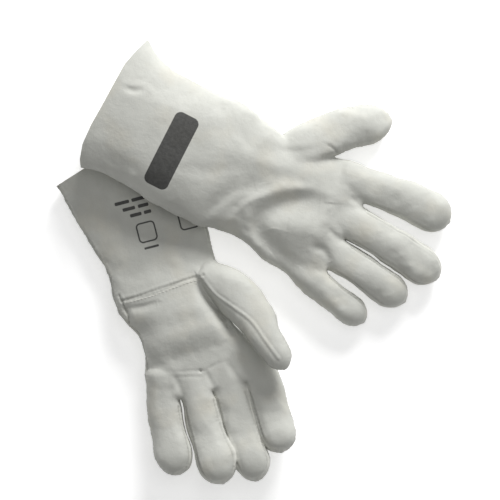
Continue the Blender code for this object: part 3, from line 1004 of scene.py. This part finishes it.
def box_mark(nodes, plan, centre, half, turn, corner, outline=0.0):
    """A filled or outlined box with round corners, printed at a place of the plan, in mm."""
    moved = nodes.vector("SUBTRACT", plan, (centre[0] * MM, centre[1] * MM, 0))
    inputs = {"Vector": moved, "Angle": radians(-turn)}
    turned = nodes.node("ShaderNodeVectorRotate", inputs, rotation_type="Z_AXIS").outputs[0]
    flat = nodes.vector("MULTIPLY", turned, (1, 1, 0))
    size = ((half[0] - corner) * MM, (half[1] - corner) * MM, 0)
    beyond = nodes.vector("SUBTRACT", nodes.vector("ABSOLUTE", flat), size)
    outside = nodes.vector("LENGTH", nodes.vector("MAXIMUM", beyond, (0, 0, 0)))
    split = nodes.node("ShaderNodeSeparateXYZ", {0: beyond})
    deepest = nodes.math("MAXIMUM", split.outputs[0], split.outputs[1])
    inside = nodes.math("MINIMUM", deepest, 0.0)
    distance = nodes.math("SUBTRACT", nodes.math("ADD", outside, inside), corner * MM)
    if outline:
        distance = nodes.math("SUBTRACT", nodes.math("ABSOLUTE", distance), outline * MM)
    return nodes.ramp(distance, -0.00012, 0.00022, 1.0, 0.0)


def print_mask(nodes, plan, marks):
    masks = [box_mark(nodes, plan, *mark) for mark in marks]
    total = masks[0]
    for mask in masks[1:]:
        total = nodes.math("MAXIMUM", total, mask)
    return total


# Generic printed shapes, in the places where the real gloves carry a print: a centre, half sizes, a
# turn in degrees, a corner radius and, for an outline, half of its line's width.
PRINTS = {
    "right": (((-77, -6), (12, 37), 0, 6),),
    "left": (
        ((-87.5, -21), (1.6, 7), 0, 1),
        ((-87.5, -4), (1.6, 7.5), 0, 1),
        ((-80.4, -16), (1.6, 6), 0, 1),
        ((-80.4, -2), (1.6, 5), 0, 1),
        ((-73.4, -11), (1.6, 5.5), 0, 1),
        ((-73.4, 0.5), (1.6, 3.5), 0, 1),
        ((-55, -5), (9, 8.5), 0, 3.5, 0.7),
        ((-57, 36), (9, 8.5), 0, 3.5, 0.7),
        ((-40, -4), (1.0, 7), 0, 0.8),
    ),
}


# The row of stitches that shows beside a wrist seam, in plan.
WRIST_STITCHES = {"left": ((5.2, -41), (5.6, -20), (3.6, 0), (1.8, 20), (1.4, 33))}


def leather(name, marks=()):
    n = Nodes(name)
    plan = n.attribute("plan", "Vector")
    dark = n.attribute("dark", "Fac")
    raw = n.attribute("raw", "Fac")
    pale = n.attribute("pale", "Fac")
    top = n.attribute("top", "Fac")

    broad = n.ramp(n.noise(plan, 22, 3, 0.55), 0.32, 0.68)
    tint = n.ramp(n.noise(n.vector("ADD", plan, (3.1, 0.7, 0.2)), 30, 2, 0.5), 0.52, 0.74)
    blotch = n.ramp(n.noise(plan, 120, 4, 0.6), 0.3, 0.7)
    speck = n.ramp(n.noise(plan, 900, 3, 0.6), 0.35, 0.65)
    grain = n.cells(plan, 1100)
    colour = n.mix(broad, (0.47, 0.475, 0.44, 1), (0.56, 0.565, 0.525, 1))
    colour = n.mix(n.math("MULTIPLY", tint, 0.45), colour, (0.56, 0.53, 0.44, 1))
    colour = n.mix(n.math("MULTIPLY", blotch, 0.22), colour, (0.43, 0.43, 0.395, 1))
    colour = n.mix(n.math("MULTIPLY", speck, 0.14), colour, (0.62, 0.62, 0.58, 1))
    pore = n.ramp(grain, 0.0, 0.35, 0.22, 0.0)
    colour = n.mix(pore, colour, (0.36, 0.36, 0.33, 1))
    colour = n.mix(n.math("MULTIPLY", pale, 0.5), colour, (0.66, 0.66, 0.61, 1))
    # painted shade along the seams: a near-black grey mixed in along the seams' grooves
    colour = n.mix(n.math("MULTIPLY", dark, 0.45), colour, (0.22, 0.22, 0.195, 1))
    colour = n.mix(n.math("MULTIPLY", raw, 0.55), colour, (0.60, 0.57, 0.50, 1))
    rough = n.ramp(n.noise(plan, 60, 3), 0.3, 0.7, 0.68, 0.84)
    if marks:
        worn = n.ramp(n.noise(plan, 700, 4, 0.7), 0.2, 0.34, 0.55, 1.0)
        mask = n.math("MULTIPLY", print_mask(n, plan, marks), n.math("MULTIPLY", worn, top))
        outside = n.ramp(raw, 0.2, 0.4, 1.0, 0.0)
        mask = n.math("MULTIPLY", mask, outside)
        uneven = n.ramp(n.noise(plan, 350, 3), 0.3, 0.7)
        ink = n.mix(uneven, (0.020, 0.020, 0.020, 1), (0.045, 0.045, 0.043, 1))
        colour = n.mix(n.math("MULTIPLY", mask, 0.94), colour, ink)
        rough = n.mix(mask, rough, (0.55, 0.55, 0.55, 1))

    fine = n.math("MULTIPLY", n.ramp(grain, 0.0, 0.6), 0.6)
    soft = n.math("MULTIPLY", n.noise(plan, 2600, 2), 0.4)
    skin = n.bump(n.math("ADD", fine, soft), 0.22, 0.00035)
    creased = n.bump(n.noise(plan, 170, 5, 0.62), 0.3, 0.0016, skin)
    return n.surface(
        Base_Color=colour,
        Roughness=rough,
        Normal=creased,
        Sheen_Weight=0.1,
        Sheen_Roughness=0.5,
        Specular_IOR_Level=0.35,
    )


def thread():
    n = Nodes("thread")
    place = n.node("ShaderNodeTexCoord").outputs["Object"]
    twist = n.node("ShaderNodeTexWave", {"Vector": place, "Scale": 900, "Distortion": 1.5}).outputs["Fac"]
    colour = n.mix(twist, (0.50, 0.49, 0.44, 1), (0.64, 0.63, 0.58, 1))
    return n.surface(Base_Color=colour, Roughness=0.75, Normal=n.bump(twist, 0.4, 0.0001))


def paper_floor():
    n = Nodes("floor_paper")
    coordinates = n.node("ShaderNodeTexCoord").outputs["Object"]
    fibre = n.ramp(n.noise(coordinates, 300, 2), 0.3, 0.7)
    colour = n.mix(fibre, (0.95, 0.95, 0.95, 1), (0.97, 0.97, 0.97, 1))
    return n.surface(
        Base_Color=colour,
        Roughness=0.9,
        Specular_IOR_Level=0.1,
        Emission_Color=(1, 1, 1, 1),
        Emission_Strength=0.4,
    )


def over_wrist(piece):
    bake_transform(piece)


def over_knuckle(piece):
    """Bake a finger's piece's transform into its mesh."""
    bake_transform(piece)


def build():
    materials = {
        "right": leather("leather_right", PRINTS["right"]),
        "left": leather("leather_left", PRINTS["left"]),
        "plain": leather("leather_plain"),
    }
    sewing = thread()
    for shape in (LEFT, RIGHT):
        pieces, tree = glove(shape, materials)
        name = shape.name
        for key, piece in pieces.items():
            if key == "main":
                over_wrist(piece)
                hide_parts(*BODIES[f"{name}_cuff"], *BODIES[f"{name}_hand"])
            else:
                over_knuckle(piece)
                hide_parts(*BODIES[f"{name}_{key}"])
        if name in WRIST_STITCHES:
            row = stitches(shape, tree, WRIST_STITCHES[name], sewing)
            over_wrist(row)


def area_light(name, place, size, power):
    light = bpy.data.lights.new(name, "AREA")
    light.size = size
    light.energy = power
    thing = bpy.data.objects.new(name, light)
    thing.location = place
    thing.rotation_euler = (-Vector(place)).to_track_quat("-Z", "Y").to_euler()
    bpy.context.collection.objects.link(thing)


# The view is this wide at this height above the floor. The lens is long, so the raised cuff looks
# no larger than it is.
LENS = 300
SENSOR = 36
VIEW_WIDTH = 0.475
VIEW_HEIGHT = 0.02
VIEW_CENTRE = (-4.0 * MM, 11.4 * MM)


def stage():
    half = 3
    corners = ((-half, -half, 0), (half, -half, 0), (half, half, 0), (-half, half, 0))
    mesh = bpy.data.meshes.new("floor")
    mesh.from_pydata(corners, [], [(0, 1, 2, 3)])
    link("floor", mesh, paper_floor())

    camera = bpy.data.objects.new("camera", bpy.data.cameras.new("camera"))
    bpy.context.collection.objects.link(camera)
    camera.data.lens = LENS
    camera.data.sensor_width = SENSOR
    camera.data.clip_end = 50
    distance = VIEW_WIDTH / SENSOR * LENS
    camera.location = (*VIEW_CENTRE, distance + VIEW_HEIGHT)
    bpy.context.scene.camera = camera

    area_light("key", (0.5, 1.5, 0.82), 0.8, 36)
    area_light("fill", (0.2, 0.3, 1.9), 1.4, 8)
    world = bpy.data.worlds.new("world")
    world.use_nodes = True
    world.node_tree.nodes["Background"].inputs["Color"].default_value = (1, 1, 1, 1)
    world.node_tree.nodes["Background"].inputs["Strength"].default_value = 0.24
    bpy.context.scene.world = world
    bpy.context.scene.view_settings.view_transform = "Standard"


stage()
build()
bpy.context.view_layer.update()
